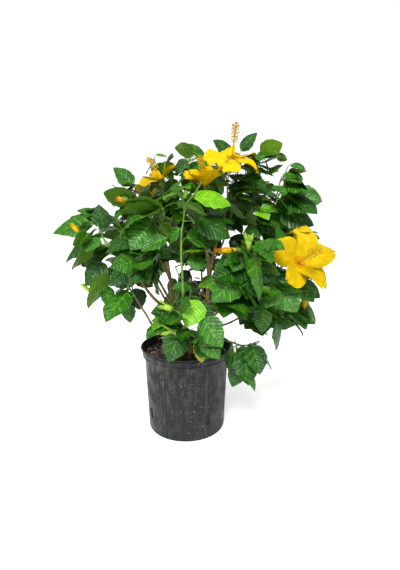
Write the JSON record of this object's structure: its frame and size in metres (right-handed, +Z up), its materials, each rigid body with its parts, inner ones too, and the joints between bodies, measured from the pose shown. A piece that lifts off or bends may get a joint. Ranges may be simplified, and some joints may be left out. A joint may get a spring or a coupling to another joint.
{
  "type": "hibiscus shrub",
  "caption": "Tropical hibiscus shrub with open and furled yellow blooms, growing in a round black nursery pot.",
  "frame": {"origin": "centre of the pot's flat underside", "axes": "+Z up from the ground, +X to the right and +Y to the back as the plant faces the viewer"},
  "size_m": [0.6999, 0.6154, 0.814],
  "materials": {
    "pot": "dusty matte black plastic",
    "soil": "moist potting mix of bark, fibre and perlite",
    "bark": "smooth tan bark",
    "greenery": "glossy leaves on green shoots"
  },
  "bodies": {
    "root": {"pot": "pot", "soil": "soil", "trunk": "bark", "stem_right": "bark", "bough_top_left": "bark", "bough_left": "bark", "bough_left_low": "bark", "bough_upper_left": "bark", "bough_front_left": "bark", "bough_front": "bark", "bough_front_low": "bark", "bough_top_right": "bark", "bough_top_middle": "bark", "bough_top_back": "bark", "bough_upper_right": "bark", "bough_right": "bark", "bough_front_right": "bark", "bough_right_low": "bark", "bough_droop": "bark", "bough_back_left": "bark", "bough_back": "bark", "bough_back_right": "bark", "bough_back_low": "bark", "bough_top_back_left": "bark", "bough_top_back_right": "bark", "foliage_top_right": "greenery", "foliage_top_middle": "greenery", "foliage_top_left": "greenery", "foliage_top_back": "greenery", "foliage_top_back_left": "greenery", "foliage_top_back_right": "greenery", "foliage_upper_left": "greenery", "foliage_upper_right": "greenery", "foliage_left": "greenery", "foliage_right": "greenery", "foliage_front_left": "greenery", "foliage_front": "greenery", "foliage_front_right": "greenery", "foliage_back_left": "greenery", "foliage_back": "greenery", "foliage_back_right": "greenery", "foliage_left_low": "greenery", "foliage_right_low": "greenery", "foliage_front_low": "greenery", "foliage_back_low": "greenery", "foliage_droop": "greenery"}
  },
  "joints": []
}
